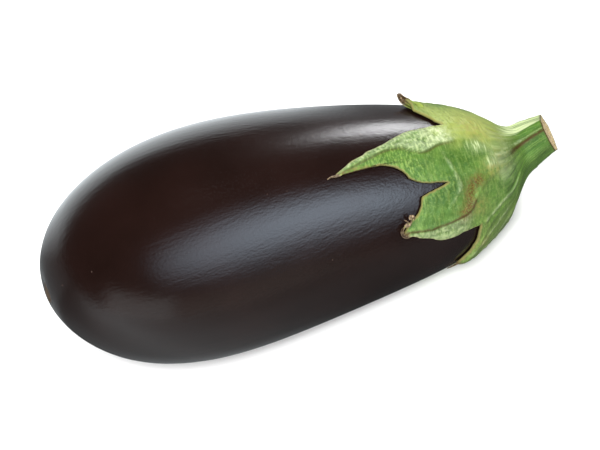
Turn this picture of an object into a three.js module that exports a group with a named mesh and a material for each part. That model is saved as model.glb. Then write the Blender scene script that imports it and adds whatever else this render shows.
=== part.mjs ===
// An eggplant lying on its side: a glossy dark berry with its green calyx and cut stalk.
//
// Millimetres, +Z up. Each piece is first worked out in the fruit's own frame, in which the
// core runs along +X from the blossom end at x = 0 to the stalk end at x = FRUIT_LENGTH.
// It is then tipped about Y into the pose in which it lies, and the whole part is moved so
// that the small flat it rests on is at z = 0 and the origin is the middle of its footprint.
import * as THREE from 'three';

// ---- Fruit ---------------------------------------------------------------------------------
const FRUIT_LENGTH = 187;
const FRUIT_RADIUS = 46.4;
// How the radius departs from a plain ellipse: fuller at the blossom end, square-shouldered
// at both ends, and a slightly hollow waist before the stalk.
const BLOSSOM_FULLNESS = 0.086;
const END_FULLNESS = 0.092;
const WAIST = 0.046;
// The core bows sideways, along Y.
const BOW = 0.85;
const BOW_SKEW = 1.5;
const BOW_ENDS = 1.8;
// Faint flats along the fruit, as every eggplant has.
const FLAT_COUNT = 5;
const FLAT_HEIGHT = 0.35;
const FLAT_TURN = 0.6;
// The scar that the flower leaves at the blossom end.
const SCAR_RADIUS = 4;
const SCAR_DEPTH = 0.8;
const FRUIT_RINGS = 42;
const FRUIT_SIDES = 60;
// The pose: the stalk end is the lighter one, so it is tipped down a little.
const LIE_ANGLE = THREE.MathUtils.degToRad(6.2);
const REST_FLAT_DEPTH = 0.6;

// ---- Calyx ---------------------------------------------------------------------------------
// A place on the cap is a reach, the distance along the fruit's surface from its stalk end,
// and a turn about the core in degrees, from the top towards +Y.
// Each lobe runs from its notch up to its tip and down to the next lobe's notch.
const LOBES = [
  {
    keel: 0.3,
    notch: [77, 46],
    rise: [[68, 51], [60, 55]],
    tip: [52, 58.8],
    fall: [[45, 58], [34.5, 55.5], [24.5, 51.5]],
  },
  {
    keel: 1.7,
    notch: [15.5, 46],
    rise: [[11, 56], [8.5, 64], [2, 74.5], [-5.5, 89]],
    tip: [-12.5, 98.5],
    fall: [[-10.5, 86], [-12, 76.5], [-16.5, 71.3], [-23.2, 67.6]],
  },
  {
    keel: 1.4,
    notch: [-28, 53.8],
    rise: [[-31.5, 62.5], [-33, 66], [-41, 67.3], [-47, 71.5]],
    tip: [-51.8, 77],
    fall: [[-55.5, 71], [-60, 64], [-63.5, 55.8]],
  },
  {
    keel: 0.5,
    notch: [-64.5, 41.8],
    rise: [[-74, 42.7], [-83, 44.7], [-91, 48]],
    tip: [-98, 53],
    fall: [[-111, 49]],
  },
  {
    keel: 1.2,
    notch: [-125, 44],
    rise: [[-134, 53], [-143, 61]],
    tip: [-152, 69],
    fall: [[-161, 60], [-170, 52]],
  },
  {
    keel: 1.2,
    notch: [-178, 45],
    rise: [[-185, 54], [-195, 65]],
    tip: [-204, 75],
    fall: [[-211, 64], [-221, 53]],
  },
  {
    keel: 1,
    notch: [-229, 46],
    rise: [[-238, 54], [-248, 59]],
    tip: [-257, 66],
    fall: [[-266, 59], [-275, 52]],
  },
];
// The first lobe's tip has dried and stands off the fruit in a curl.
const CURLED_LOBE = 0;
const CURL_START = 51;
const CURL_RADIUS = 9;

// The cap lies a gap clear of the fruit and thins down to its lobes.
const CAP_GAP = 0.5;
const CAP_THICKNESS = 1.5;
const LOBE_THICKNESS = 1;
const LOBE_START = 50;
// Each lobe has a raised midrib, a low one on the cap, at its full height by KEEL_FULL, that runs
// out before the rim.
const CAP_KEEL = 0.4;
const KEEL_START = 20;
const KEEL_FULL = 60;
const KEEL_RUN_OUT = 9;
// How the cap is divided: ribs from the stalk to each side of a lobe, and rows across them. The
// ribs fan out into the lobes the more, the higher RIB_FAN.
const RIBS_PER_SIDE = 8;
const RIB_FAN = 1.5;
const CAP_ROWS = 12;
const CORE_ROWS = 4;
// One degree of turn, as a length on the fruit under the lobes.
const TURN_LENGTH = 0.62;

// ---- Stalk ---------------------------------------------------------------------------------
// It leaves the cap off centre and bends up towards its cut end.
const STALK_FOOT = new THREE.Vector3(191, 5.1, 3.6);
const STALK_BEND = new THREE.Vector3(196.5, 5.6, 6);
const STALK_CUT = new THREE.Vector3(203.2, 5.4, 10.2);
const FOOT_RADIUS = 9.2;
const CUT_RADIUS = 7;
const STALK_ROWS = 5;
// The hollow round its foot starts on the cap at FOOT_REACH, and further out towards FOOT_TURN.
const FOOT_REACH = 15.5;
const FOOT_REACH_SHIFT = 6.5;
const FOOT_TURN = 50;
const FILLET_PULL = 0.4;
const FILLET_ROWS = 4;
// The ridges that run up the stalk, as turns in degrees about its axis, and their width.
const STALK_RIDGES = [62, 12, -15, -103, -160, 118];
const RIDGE_WIDTH = 12;
const RIDGE_HEIGHT = 0.9;
// The cut end is shallowly dished.
const DISH_DEPTH = 0.5;
const DISH_WALL_SCALE = 0.82;
const DISH_WALL_DEPTH = 0.3;

const SKIN_COLOUR = 0x261815;
const SKIN_ROUGHNESS = 0.25;
const CALYX_COLOUR = 0x72934e;
const CALYX_ROUGHNESS = 0.5;

// Steps for the sums along the fruit's surface, and for its slope.
const REACH_STEPS = 600;
const SLOPE_STEP = 0.01;

const UP = new THREE.Vector3(0, 0, 1);
const radians = THREE.MathUtils.degToRad;
const lerp = THREE.MathUtils.lerp;
const smoothstep = THREE.MathUtils.smoothstep;

// The surface of the fruit. along is 0 at the blossom end and pi at the stalk end.
function fruitRadius(along, turn) {
  const round = Math.sin(along);
  const shape = 1 + BLOSSOM_FULLNESS * Math.cos(along)
    + END_FULLNESS * Math.cos(2 * along)
    - WAIST * Math.cos(3 * along);
  const flats = FLAT_HEIGHT * round * round * Math.cos(FLAT_COUNT * radians(turn) + FLAT_TURN);
  return FRUIT_RADIUS * round * shape + flats;
}

function fruitPoint(along, turn) {
  const radius = fruitRadius(along, turn);
  const scar = along < Math.PI / 2 ? SCAR_DEPTH * Math.exp(-((radius / SCAR_RADIUS) ** 2)) : 0;
  const bow = BOW + BOW_SKEW * Math.cos(along) + BOW_ENDS * Math.cos(2 * along);
  return new THREE.Vector3(
    (FRUIT_LENGTH / 2) * (1 - Math.cos(along)) + scar,
    -bow * Math.sin(along) ** 2 + radius * Math.sin(radians(turn)),
    radius * Math.cos(radians(turn)),
  );
}

// The way along the surface away from the stalk, and the outward normal.
function fruitDirections(along, turn) {
  const nearer = fruitPoint(Math.min(along + SLOPE_STEP, Math.PI), turn);
  const away = fruitPoint(along - SLOPE_STEP, turn).sub(nearer).normalize();
  const round = new THREE.Vector3(0, Math.cos(radians(turn)), -Math.sin(radians(turn)));
  const normal = new THREE.Vector3().crossVectors(round, away).normalize();
  return { away, normal };
}

// The reach at even steps of along, summed from the stalk end.
const reachTable = [0];
for (let i = 1; i <= REACH_STEPS; i += 1) {
  const before = fruitPoint(Math.PI * (1 - (i - 1) / REACH_STEPS), 0);
  const here = fruitPoint(Math.PI * (1 - i / REACH_STEPS), 0);
  reachTable.push(reachTable[i - 1] + before.distanceTo(here));
}

function alongAtReach(reach) {
  let i = 1;
  while (i < REACH_STEPS && reachTable[i] < reach) i += 1;
  const part = (reach - reachTable[i - 1]) / (reachTable[i] - reachTable[i - 1]);
  return Math.PI * (1 - (i - 1 + part) / REACH_STEPS);
}

function makeFruit() {
  const rings = [];
  for (let i = 1; i < FRUIT_RINGS; i += 1) {
    const ring = [];
    for (let j = 0; j < FRUIT_SIDES; j += 1) {
      ring.push(fruitPoint((Math.PI * i) / FRUIT_RINGS, (360 * j) / FRUIT_SIDES));
    }
    rings.push(ring);
  }
  return closedSkin(fruitPoint(0, 0), rings, fruitPoint(Math.PI, 0));
}

// A closed skin through rings of equal count, with a pole at each end. The rings run clockwise as
// seen from the last pole.
function closedSkin(firstPole, rings, lastPole) {
  const count = rings[0].length;
  const points = [firstPole, ...rings.flat(), lastPole];
  const last = points.length - 1;
  const at = (ring, j) => 1 + ring * count + (j % count);
  const faces = [];
  for (let j = 0; j < count; j += 1) {
    faces.push(0, at(0, j), at(0, j + 1));
    for (let ring = 0; ring + 1 < rings.length; ring += 1) {
      faces.push(at(ring, j), at(ring + 1, j), at(ring + 1, j + 1));
      faces.push(at(ring, j), at(ring + 1, j + 1), at(ring, j + 1));
    }
    faces.push(last, at(rings.length - 1, j + 1), at(rings.length - 1, j));
  }
  const geometry = new THREE.BufferGeometry().setFromPoints(points);
  geometry.setIndex(faces);
  return geometry;
}

// One side of a lobe's rim, as evenly spaced places on a smooth line through those given.
function rimSide(points) {
  const curve = new THREE.SplineCurve(
    points.map(([turn, reach]) => new THREE.Vector2(turn * TURN_LENGTH, reach)),
  );
  return curve.getSpacedPoints(RIBS_PER_SIDE).map((p) => [p.x / TURN_LENGTH, p.y]);
}

// The ribs of the cap, each ending on its rim. A rib knows where its foot is, and how far it is
// from the middle of its lobe: across is 0 at the tip and 1 at a notch.
function makeRibs() {
  const ribs = [];
  LOBES.forEach((lobe, index) => {
    const next = LOBES[(index + 1) % LOBES.length];
    const nextNotch = index + 1 < LOBES.length ? next.notch : [next.notch[0] - 360, next.notch[1]];
    const rise = rimSide([lobe.notch, ...lobe.rise, lobe.tip]);
    const fall = rimSide([lobe.tip, ...lobe.fall, nextNotch]);
    const rim = [...rise, ...fall.slice(1, -1)];
    rim.forEach(([turn, reach], k) => {
      const rising = k <= RIBS_PER_SIDE;
      ribs.push({
        turn,
        reach,
        footTurn: lerp(lobe.notch[0], nextNotch[0], k / (2 * RIBS_PER_SIDE)),
        across: Math.abs(k / RIBS_PER_SIDE - 1),
        edge: rising ? rise : [...fall].reverse(),
        keel: lobe.keel,
        curled: index === CURLED_LOBE,
      });
    });
  });
  return ribs.reverse();
}

// How far over the middle of its lobe a place is: 1 on the midrib and 0 on the rim.
function tentAt(rib, reach) {
  const { edge } = rib;
  if (reach <= edge[0][1]) return 1 - rib.across;
  let k = 1;
  while (k < RIBS_PER_SIDE && edge[k][1] < reach) k += 1;
  const part = (reach - edge[k - 1][1]) / (edge[k][1] - edge[k - 1][1]);
  const rimAcross = 1 - (k - 1 + Math.min(part, 1)) / RIBS_PER_SIDE;
  return rimAcross > 0 ? Math.max(0, 1 - rib.across / rimAcross) : 1;
}

function footReach(turn) {
  return FOOT_REACH + FOOT_REACH_SHIFT * Math.cos(radians(turn - FOOT_TURN));
}

// A point under the stalk's foot, the cap's gap above the fruit.
function corePoint(rib, part) {
  const along = alongAtReach(footReach(rib.footTurn) * part);
  const { normal } = fruitDirections(along, rib.footTurn);
  return fruitPoint(along, rib.footTurn).addScaledVector(normal, CAP_GAP);
}

// A point of the cap, height above the fruit. part runs from the stalk's foot at 0 to the rim at 1.
function capPoint(rib, part, height) {
  const reach = lerp(footReach(rib.footTurn), rib.reach, part);
  const turn = lerp(rib.footTurn, rib.turn, part ** RIB_FAN);
  const held = rib.curled ? Math.min(reach, CURL_START) : reach;
  const along = alongAtReach(held);
  const { away, normal } = fruitDirections(along, turn);
  const point = fruitPoint(along, turn);
  const bend = (reach - held) / CURL_RADIUS;
  point.addScaledVector(away, CURL_RADIUS * Math.sin(bend) - height * Math.sin(bend));
  point.addScaledVector(normal, CURL_RADIUS * (1 - Math.cos(bend)) + height * Math.cos(bend));
  return point;
}

function outerHeight(rib, part) {
  const reach = lerp(footReach(rib.footTurn), rib.reach, part);
  const thickness = lerp(CAP_THICKNESS, LOBE_THICKNESS, smoothstep(reach, FOOT_REACH, LOBE_START));
  const onCap = CAP_KEEL * smoothstep(reach, FOOT_REACH, KEEL_START);
  const onLobe = (1 - CAP_KEEL) * smoothstep(reach, KEEL_START, KEEL_FULL);
  const runOut = smoothstep(rib.reach - reach, 0, KEEL_RUN_OUT);
  return CAP_GAP + thickness + rib.keel * (onCap + onLobe) * runOut * tentAt(rib, reach);
}

// The stalk, as rings square to its bent axis.
const stalkAxis = new THREE.QuadraticBezierCurve3(STALK_FOOT, STALK_BEND, STALK_CUT);

function stalkRadius(turn, part) {
  const ridges = STALK_RIDGES.map((ridge) => {
    const apart = THREE.MathUtils.euclideanModulo(turn - ridge + 180, 360) - 180;
    return Math.exp(-((apart / RIDGE_WIDTH) ** 2));
  });
  return lerp(FOOT_RADIUS, CUT_RADIUS, part) + RIDGE_HEIGHT * (Math.max(...ridges) - 0.5);
}

function stalkPoint(turn, part, scale = 1, sunk = 0) {
  const axis = stalkAxis.getTangent(part);
  const up = UP.clone().addScaledVector(axis, -axis.dot(UP)).normalize();
  const across = new THREE.Vector3().crossVectors(up, axis);
  const radius = stalkRadius(turn, part) * scale;
  return stalkAxis.getPoint(part)
    .addScaledVector(up, radius * Math.cos(radians(turn)))
    .addScaledVector(across, radius * Math.sin(radians(turn)))
    .addScaledVector(axis, -sunk);
}

// The hollow between cap and stalk, along one rib.
function filletPoint(rib, part) {
  const cap = capPoint(rib, 0, outerHeight(rib, 0));
  const stalk = stalkPoint(rib.footTurn, 0);
  const { away } = fruitDirections(alongAtReach(footReach(rib.footTurn)), rib.footTurn);
  const pull = FILLET_PULL * cap.distanceTo(stalk);
  return new THREE.CubicBezierCurve3(
    cap,
    cap.clone().addScaledVector(away, -pull),
    stalk.clone().addScaledVector(stalkAxis.getTangent(0), -pull),
    stalk,
  ).getPoint(part);
}

function makeCalyxAndStalk() {
  const ribs = makeRibs();
  const rings = [];
  for (let i = 1; i < CORE_ROWS; i += 1) {
    rings.push(ribs.map((rib) => corePoint(rib, i / CORE_ROWS)));
  }
  for (let i = 0; i <= CAP_ROWS; i += 1) {
    rings.push(ribs.map((rib) => capPoint(rib, i / CAP_ROWS, CAP_GAP)));
  }
  for (let i = CAP_ROWS; i >= 0; i -= 1) {
    rings.push(ribs.map((rib) => capPoint(rib, i / CAP_ROWS, outerHeight(rib, i / CAP_ROWS))));
  }
  for (let i = 1; i < FILLET_ROWS; i += 1) {
    rings.push(ribs.map((rib) => filletPoint(rib, i / FILLET_ROWS)));
  }
  for (let i = 0; i <= STALK_ROWS; i += 1) {
    rings.push(ribs.map((rib) => stalkPoint(rib.footTurn, i / STALK_ROWS)));
  }
  rings.push(ribs.map((rib) => stalkPoint(rib.footTurn, 1, DISH_WALL_SCALE, DISH_WALL_DEPTH)));
  const underside = fruitPoint(Math.PI, 0).add(new THREE.Vector3(CAP_GAP, 0, 0));
  return closedSkin(underside, rings, stalkPoint(0, 1, 0, DISH_DEPTH));
}

// Presses the lowest part of a piece up by depth, which leaves a small flat.
function flattenUnderside(geometry, depth) {
  geometry.computeBoundingBox();
  const limit = geometry.boundingBox.min.z + depth;
  const points = geometry.getAttribute('position');
  for (let i = 0; i < points.count; i += 1) {
    points.setZ(i, Math.max(points.getZ(i), limit));
  }
  geometry.computeBoundingBox();
}

function piece(name, geometry, color, roughness) {
  const mesh = new THREE.Mesh(geometry, new THREE.MeshStandardMaterial({ color, roughness }));
  mesh.name = name;
  return mesh;
}

const fruit = makeFruit().rotateY(LIE_ANGLE);
flattenUnderside(fruit, REST_FLAT_DEPTH);
const calyxAndStalk = makeCalyxAndStalk().rotateY(LIE_ANGLE);

const eggplant = new THREE.Group();
eggplant.add(piece('fruit', fruit, SKIN_COLOUR, SKIN_ROUGHNESS));
eggplant.add(piece('calyx_and_stalk', calyxAndStalk, CALYX_COLOUR, CALYX_ROUGHNESS));

const box = new THREE.Box3().setFromObject(eggplant, true);
const middle = box.getCenter(new THREE.Vector3());
eggplant.position.set(-middle.x, -middle.y, -box.min.z);

export default eggplant;
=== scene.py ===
"""An eggplant as it lies on a pale studio table: its dark glossy fruit, and its green calyx and stalk."""
import math

import bmesh
import bpy
import numpy as np
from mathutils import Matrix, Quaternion, Vector, noise
from mathutils.kdtree import KDTree


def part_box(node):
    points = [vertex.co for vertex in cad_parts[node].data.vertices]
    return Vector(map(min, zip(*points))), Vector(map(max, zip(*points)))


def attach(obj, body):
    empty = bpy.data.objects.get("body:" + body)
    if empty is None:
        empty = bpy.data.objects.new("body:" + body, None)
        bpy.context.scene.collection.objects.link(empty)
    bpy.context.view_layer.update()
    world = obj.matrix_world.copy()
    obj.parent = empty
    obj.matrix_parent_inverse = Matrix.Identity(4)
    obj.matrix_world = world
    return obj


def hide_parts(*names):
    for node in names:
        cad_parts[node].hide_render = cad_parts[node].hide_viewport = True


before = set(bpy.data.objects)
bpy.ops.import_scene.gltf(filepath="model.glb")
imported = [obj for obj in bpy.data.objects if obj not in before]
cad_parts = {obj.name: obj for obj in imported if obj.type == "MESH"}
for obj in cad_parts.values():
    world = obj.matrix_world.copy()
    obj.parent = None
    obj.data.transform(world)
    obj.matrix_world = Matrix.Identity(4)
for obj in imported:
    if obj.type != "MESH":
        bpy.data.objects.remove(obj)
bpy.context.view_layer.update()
MM = 0.001

# ---- Fruit -----------------------------------------------------------------------------------
# The berry: a thin, tough, waxy skin grown tight over spongy flesh, bowed a little, with faint flats
# along it and the corky scar of its flower at one end. It lies on a small flat, with the stalk end
# tipped down. Its outline follows a rule, so a Geometry Nodes tree makes it from a grid of rings.
FRUIT_RINGS = 270
FRUIT_SIDES = 310
LIE_ANGLE = math.radians(6.2)
SCAR_RADIUS = 4 * MM
fruit_sizes = {
    "Length": 187 * MM,
    "Radius": 46.4 * MM,
    "Blossom fullness": 0.086,
    "End fullness": 0.092,
    "Waist": -0.046,
    "Bow": 0.85 * MM,
    "Bow skew": 1.5 * MM,
    "Bow at ends": 1.8 * MM,
    "Flats": 5,
    "Flat height": 0.35 * MM,
    "Flat turn": 0.6,
    "Scar radius": SCAR_RADIUS,
    "Scar depth": 0.8 * MM,
    "Lie angle": LIE_ANGLE,
    "Resting flat": 0.6 * MM,
    "Unevenness": 0.22 * MM,
    "Unevenness size": 26 * MM,
    "Seed": 4.0,
}
# How the grown unevenness is stretched along the fruit.
UNEVEN_STRETCH = (0.45, 1, 1)


def feed(tree, node, inputs):
    """Sets a node's inputs, in order or by identifier, to values or to what feeds them."""
    sockets = {socket.identifier: socket for socket in node.inputs}
    for key, value in inputs.items() if isinstance(inputs, dict) else enumerate(inputs):
        socket = sockets[key] if isinstance(key, str) else node.inputs[key]
        if isinstance(value, bpy.types.Node):
            value = next(output for output in value.outputs if output.enabled)
        if isinstance(value, bpy.types.NodeSocket):
            tree.links.new(value, socket)
        else:
            socket.default_value = value


def add(tree, kind, inputs=(), **settings):
    """Adds a node with its settings and what feeds its inputs."""
    node = tree.nodes.new(kind)
    for name, value in settings.items():
        setattr(node, name, value)
    feed(tree, node, inputs)
    return node


def srgb(colour):
    """An sRGB hex colour as linear red, green, blue and alpha."""
    shares = [int(colour[i:i + 2], 16) / 255 for i in (1, 3, 5)]
    linear = [c / 12.92 if c <= 0.04045 else ((c + 0.055) / 1.055) ** 2.4 for c in shares]
    return (*linear, 1.0)


# Waxy eggplant skin: near-black purple brown, with a clear waxy gloss over fine pits like those of
# orange peel, long faint wrinkles, and a few pale pores. Its flower scar is tan cork.
skin = bpy.data.materials.new("waxy_eggplant_skin")
skin.use_nodes = True
tree = skin.node_tree
shader = tree.nodes["Principled BSDF"]
place = add(tree, "ShaderNodeTexCoord").outputs["Object"]
lengthwise = add(tree, "ShaderNodeMapping", {"Vector": place, "Rotation": (0, LIE_ANGLE, 0)})
BLOSSOM_END = (-0.1012, -0.0042, 0.0510)
PIT_SIZE = 0.7 * MM
PIT_STRETCH = (0.6, 1, 1)
PIT_DEPTH = 0.05 * MM
WRINKLE_WIDTH = 1.6 * MM
WRINKLE_LENGTH = 26 * MM
WRINKLE_DEPTH = 0.05 * MM
MOTTLE_SIZE = 24 * MM
PORE_SPACING = 9 * MM
PORE_RADIUS = 0.22 * MM
CORK_GRAIN = 1.2 * MM
CORK_FRAY = 3 * MM
CORK_EDGE = (SCAR_RADIUS + 2 * MM, SCAR_RADIUS + 0.6 * MM)
CORK_ROUGHNESS = 0.8
SKIN_ROUGHNESS = (0.20, 0.27)
mottle = add(tree, "ShaderNodeTexNoise", {"Vector": lengthwise, "Scale": 1 / MOTTLE_SIZE, "Detail": 4.0})
tone = add(tree, "ShaderNodeMix", {
    "Factor_Float": mottle, "A_Color": srgb("#0f0705"), "B_Color": srgb("#1f110e"),
}, data_type="RGBA")
pore_cells = add(tree, "ShaderNodeTexVoronoi", {"Vector": place, "Scale": 1 / PORE_SPACING})
pore = add(tree, "ShaderNodeMapRange", {
    "Value": pore_cells,
    "From Min": PORE_RADIUS / PORE_SPACING, "From Max": 0.5 * PORE_RADIUS / PORE_SPACING,
})
with_pores = add(tree, "ShaderNodeMix", {
    "Factor_Float": pore, "A_Color": tone, "B_Color": srgb("#6a5850"),
}, data_type="RGBA")
from_scar = add(tree, "ShaderNodeVectorMath", [place, BLOSSOM_END], operation="DISTANCE").outputs["Value"]
cork_grain = add(tree, "ShaderNodeTexNoise", {"Vector": place, "Scale": 1 / CORK_GRAIN, "Detail": 3.0})
cork_edge = add(tree, "ShaderNodeMath", [cork_grain, CORK_FRAY, from_scar], operation="MULTIPLY_ADD")
cork = add(tree, "ShaderNodeMapRange", {
    "Value": cork_edge, "From Min": CORK_EDGE[0], "From Max": CORK_EDGE[1],
})
cork_tone = add(tree, "ShaderNodeMix", {
    "Factor_Float": cork_grain, "A_Color": srgb("#2e2118"), "B_Color": srgb("#6b563e"),
}, data_type="RGBA")
colour = add(tree, "ShaderNodeMix", {
    "Factor_Float": cork, "A_Color": with_pores, "B_Color": cork_tone,
}, data_type="RGBA")
gloss = add(tree, "ShaderNodeMapRange", {
    "Value": mottle, "To Min": SKIN_ROUGHNESS[0], "To Max": SKIN_ROUGHNESS[1],
})
rough = add(tree, "ShaderNodeMix", {"Factor_Float": cork, "A_Float": gloss, "B_Float": CORK_ROUGHNESS})
pits = add(tree, "ShaderNodeTexNoise", {
    "Vector": add(tree, "ShaderNodeVectorMath", [lengthwise, PIT_STRETCH], operation="MULTIPLY"),
    "Scale": 1 / PIT_SIZE, "Detail": 2.0,
})
wrinkles = add(tree, "ShaderNodeTexNoise", {
    "Vector": add(tree, "ShaderNodeVectorMath", [lengthwise, (WRINKLE_WIDTH / WRINKLE_LENGTH, 1, 1)],
                  operation="MULTIPLY"),
    "Scale": 1 / WRINKLE_WIDTH, "Detail": 1.0,
})
wrinkled = add(tree, "ShaderNodeBump", {"Height": wrinkles, "Distance": WRINKLE_DEPTH, "Strength": 1.0})
pitted = add(tree, "ShaderNodeBump", {
    "Height": pits, "Distance": PIT_DEPTH, "Strength": 1.0, "Normal": wrinkled,
})
shader.inputs["IOR"].default_value = 1.45
feed(tree, shader, {"Base Color": colour, "Roughness": rough, "Normal": pitted})

surface = bpy.data.node_groups.new("eggplant_fruit", "GeometryNodeTree")
surface.interface.new_socket("Geometry", in_out="OUTPUT", socket_type="NodeSocketGeometry")
for name in fruit_sizes:
    surface.interface.new_socket(name, in_out="INPUT", socket_type="NodeSocketFloat")
corners = dict(zip(("Lowest corner", "Highest corner"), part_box("fruit")))
for name in corners:
    surface.interface.new_socket(name, in_out="INPUT", socket_type="NodeSocketVector")
size = add(surface, "NodeGroupInput").outputs

# A place on the grid is a part of the way along the core, and a part of a turn round it. The rule goes
# on from there: each value's name, what is done, and to what. The outline is an ellipse that is
# fuller at the blossom end, the core is bowed, and the flower's scar is a small hollow.
grid = add(surface, "GeometryNodeMeshGrid", [1.0, 1.0, FRUIT_RINGS + 1, FRUIT_SIDES + 1])
here = add(surface, "GeometryNodeInputPosition")
now = add(surface, "ShaderNodeSeparateXYZ", [here]).outputs
value = {**dict(size.items()), "grid x": now["X"], "grid y": now["Y"]}
for name, operation, *terms in (
    ("along", "MULTIPLY_ADD", "grid x", math.pi, math.pi / 2),
    ("turn", "MULTIPLY_ADD", "grid y", math.tau, math.pi),
    ("round", "SINE", "along"),
    ("round squared", "POWER", "round", 2),
    ("wave", "COSINE", "along"),
    ("twice along", "MULTIPLY", "along", 2),
    ("second wave", "COSINE", "twice along"),
    ("thrice along", "MULTIPLY", "along", 3),
    ("third wave", "COSINE", "thrice along"),
    ("fuller", "MULTIPLY_ADD", "wave", "Blossom fullness", 1.0),
    ("fuller ends", "MULTIPLY_ADD", "second wave", "End fullness", "fuller"),
    ("outline", "MULTIPLY_ADD", "third wave", "Waist", "fuller ends"),
    ("skewed bow", "MULTIPLY_ADD", "wave", "Bow skew", "Bow"),
    ("whole bow", "MULTIPLY_ADD", "second wave", "Bow at ends", "skewed bow"),
    ("flat angle", "MULTIPLY_ADD", "turn", "Flats", "Flat turn"),
    ("flat wave", "COSINE", "flat angle"),
    ("flat reach", "MULTIPLY", "round squared", "Flat height"),
    ("flats", "MULTIPLY", "flat wave", "flat reach"),
    ("full radius", "MULTIPLY", "round", "Radius"),
    ("radius", "MULTIPLY_ADD", "full radius", "outline", "flats"),
    ("in scar", "DIVIDE", "radius", "Scar radius"),
    ("in scar squared", "POWER", "in scar", 2),
    ("scar fall", "SUBTRACT", 0, "in scar squared"),
    ("scar hollow", "EXPONENT", "scar fall"),
    ("blossom half", "LESS_THAN", "along", math.pi / 2),
    ("end depth", "MULTIPLY", "blossom half", "Scar depth"),
    ("scar", "MULTIPLY", "scar hollow", "end depth"),
    ("half length", "MULTIPLY", "Length", 0.5),
    ("part along", "SUBTRACT", 1, "wave"),
    ("x", "MULTIPLY_ADD", "part along", "half length", "scar"),
    ("bowed", "MULTIPLY", "whole bow", "round squared"),
    ("sideways", "SINE", "turn"),
    ("upward", "COSINE", "turn"),
    ("out y", "MULTIPLY", "radius", "sideways"),
    ("y", "SUBTRACT", "out y", "bowed"),
    ("z", "MULTIPLY", "radius", "upward"),
):
    inputs = [value.get(term, term) for term in terms]
    value[name] = add(surface, "ShaderNodeMath", inputs, operation=operation)
grown = add(surface, "GeometryNodeSetPosition", {
    "Geometry": grid, "Position": add(surface, "ShaderNodeCombineXYZ", [value[axis] for axis in "xyz"]),
})
lying = add(surface, "GeometryNodeTransform", {
    "Geometry": grown, "Rotation": add(surface, "ShaderNodeCombineXYZ", [0, size["Lie angle"], 0]),
})

# It settles on its flat, in the place that the frame gives it.
lowest = add(surface, "GeometryNodeBoundBox", [lying]).outputs["Min"]
lowest_z = add(surface, "ShaderNodeSeparateXYZ", [lowest]).outputs["Z"]
flat_level = add(surface, "ShaderNodeMath", [lowest_z, size["Resting flat"]], operation="ADD")
pressed = add(surface, "ShaderNodeMath", [now["Z"], flat_level], operation="MAXIMUM")
settled = add(surface, "GeometryNodeSetPosition", {
    "Geometry": lying, "Position": add(surface, "ShaderNodeCombineXYZ", [now["X"], now["Y"], pressed]),
})
bounds = add(surface, "GeometryNodeBoundBox", [settled]).outputs
box_sum = add(surface, "ShaderNodeVectorMath", [size["Lowest corner"], size["Highest corner"]],
              operation="ADD")
own_sum = add(surface, "ShaderNodeVectorMath", [bounds["Min"], bounds["Max"]], operation="ADD")
apart = add(surface, "ShaderNodeVectorMath", [box_sum, own_sum], operation="SUBTRACT")
half_apart = add(surface, "ShaderNodeVectorMath", {"Vector": apart, "Scale": 0.5}, operation="SCALE")
to_table = add(surface, "ShaderNodeVectorMath", [size["Lowest corner"], bounds["Min"]], operation="SUBTRACT")
shift_xy = add(surface, "ShaderNodeSeparateXYZ", [half_apart]).outputs
shift_z = add(surface, "ShaderNodeSeparateXYZ", [to_table]).outputs
placed = add(surface, "GeometryNodeSetPosition", {
    "Geometry": settled,
    "Offset": add(surface, "ShaderNodeCombineXYZ", [shift_xy["X"], shift_xy["Y"], shift_z["Z"]]),
})

# Growth leaves it a little uneven, in swellings that are longer than wide.
sample = add(surface, "ShaderNodeVectorMath", [here, UNEVEN_STRETCH], operation="MULTIPLY")
fineness = add(surface, "ShaderNodeMath", [1, size["Unevenness size"]], operation="DIVIDE")
lumps = add(surface, "ShaderNodeTexNoise", {
    "Vector": sample, "W": size["Seed"], "Scale": fineness, "Detail": 1.0,
}, noise_dimensions="4D")
lump_height = add(surface, "ShaderNodeMath", [lumps, 2, -1], operation="MULTIPLY_ADD")
lump_rise = add(surface, "ShaderNodeMath", [lump_height, size["Unevenness"]], operation="MULTIPLY")
uneven = add(surface, "GeometryNodeSetPosition", {
    "Geometry": placed,
    "Offset": add(surface, "ShaderNodeVectorMath", {
        "Vector": add(surface, "GeometryNodeInputNormal"), "Scale": lump_rise,
    }, operation="SCALE"),
})
on_table = add(surface, "ShaderNodeMath", [now["Z"], 0], operation="MAXIMUM")
resting = add(surface, "GeometryNodeSetPosition", {
    "Geometry": uneven, "Position": add(surface, "ShaderNodeCombineXYZ", [now["X"], now["Y"], on_table]),
})
smooth = add(surface, "GeometryNodeSetShadeSmooth", [resting])
real = add(surface, "GeometryNodeRealizeInstances", [smooth])
finished = add(surface, "GeometryNodeSetMaterial", {"Geometry": real, "Material": skin})
add(surface, "NodeGroupOutput", [finished])

fruit = bpy.data.objects.new("eggplant_fruit", bpy.data.meshes.new("eggplant_fruit"))
bpy.context.scene.collection.objects.link(fruit)
grow = fruit.modifiers.new("Grow", "NODES")
grow.node_group = surface
for item in surface.interface.items_tree:
    if item.name in fruit_sizes:
        grow[item.identifier] = float(fruit_sizes[item.name])
    elif item.name in corners:
        grow[item.identifier] = corners[item.name]
mesh = bpy.data.meshes.new_from_object(fruit.evaluated_get(bpy.context.evaluated_depsgraph_get()))
fruit.modifiers.clear()
fruit.data = mesh

# The grid's places are kept for the calyx, which lies on them, before its seam and ends are closed.
places = np.empty(len(mesh.vertices) * 3)
mesh.vertices.foreach_get("co", places)
rings = places.reshape(FRUIT_RINGS + 1, FRUIT_SIDES + 1, 3)
body = bmesh.new()
body.from_mesh(mesh)
bmesh.ops.remove_doubles(body, verts=body.verts, dist=0.001 * MM)
bmesh.ops.recalc_face_normals(body, faces=body.faces)
body.to_mesh(mesh)
body.free()
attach(fruit, "root")
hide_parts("fruit")

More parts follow.
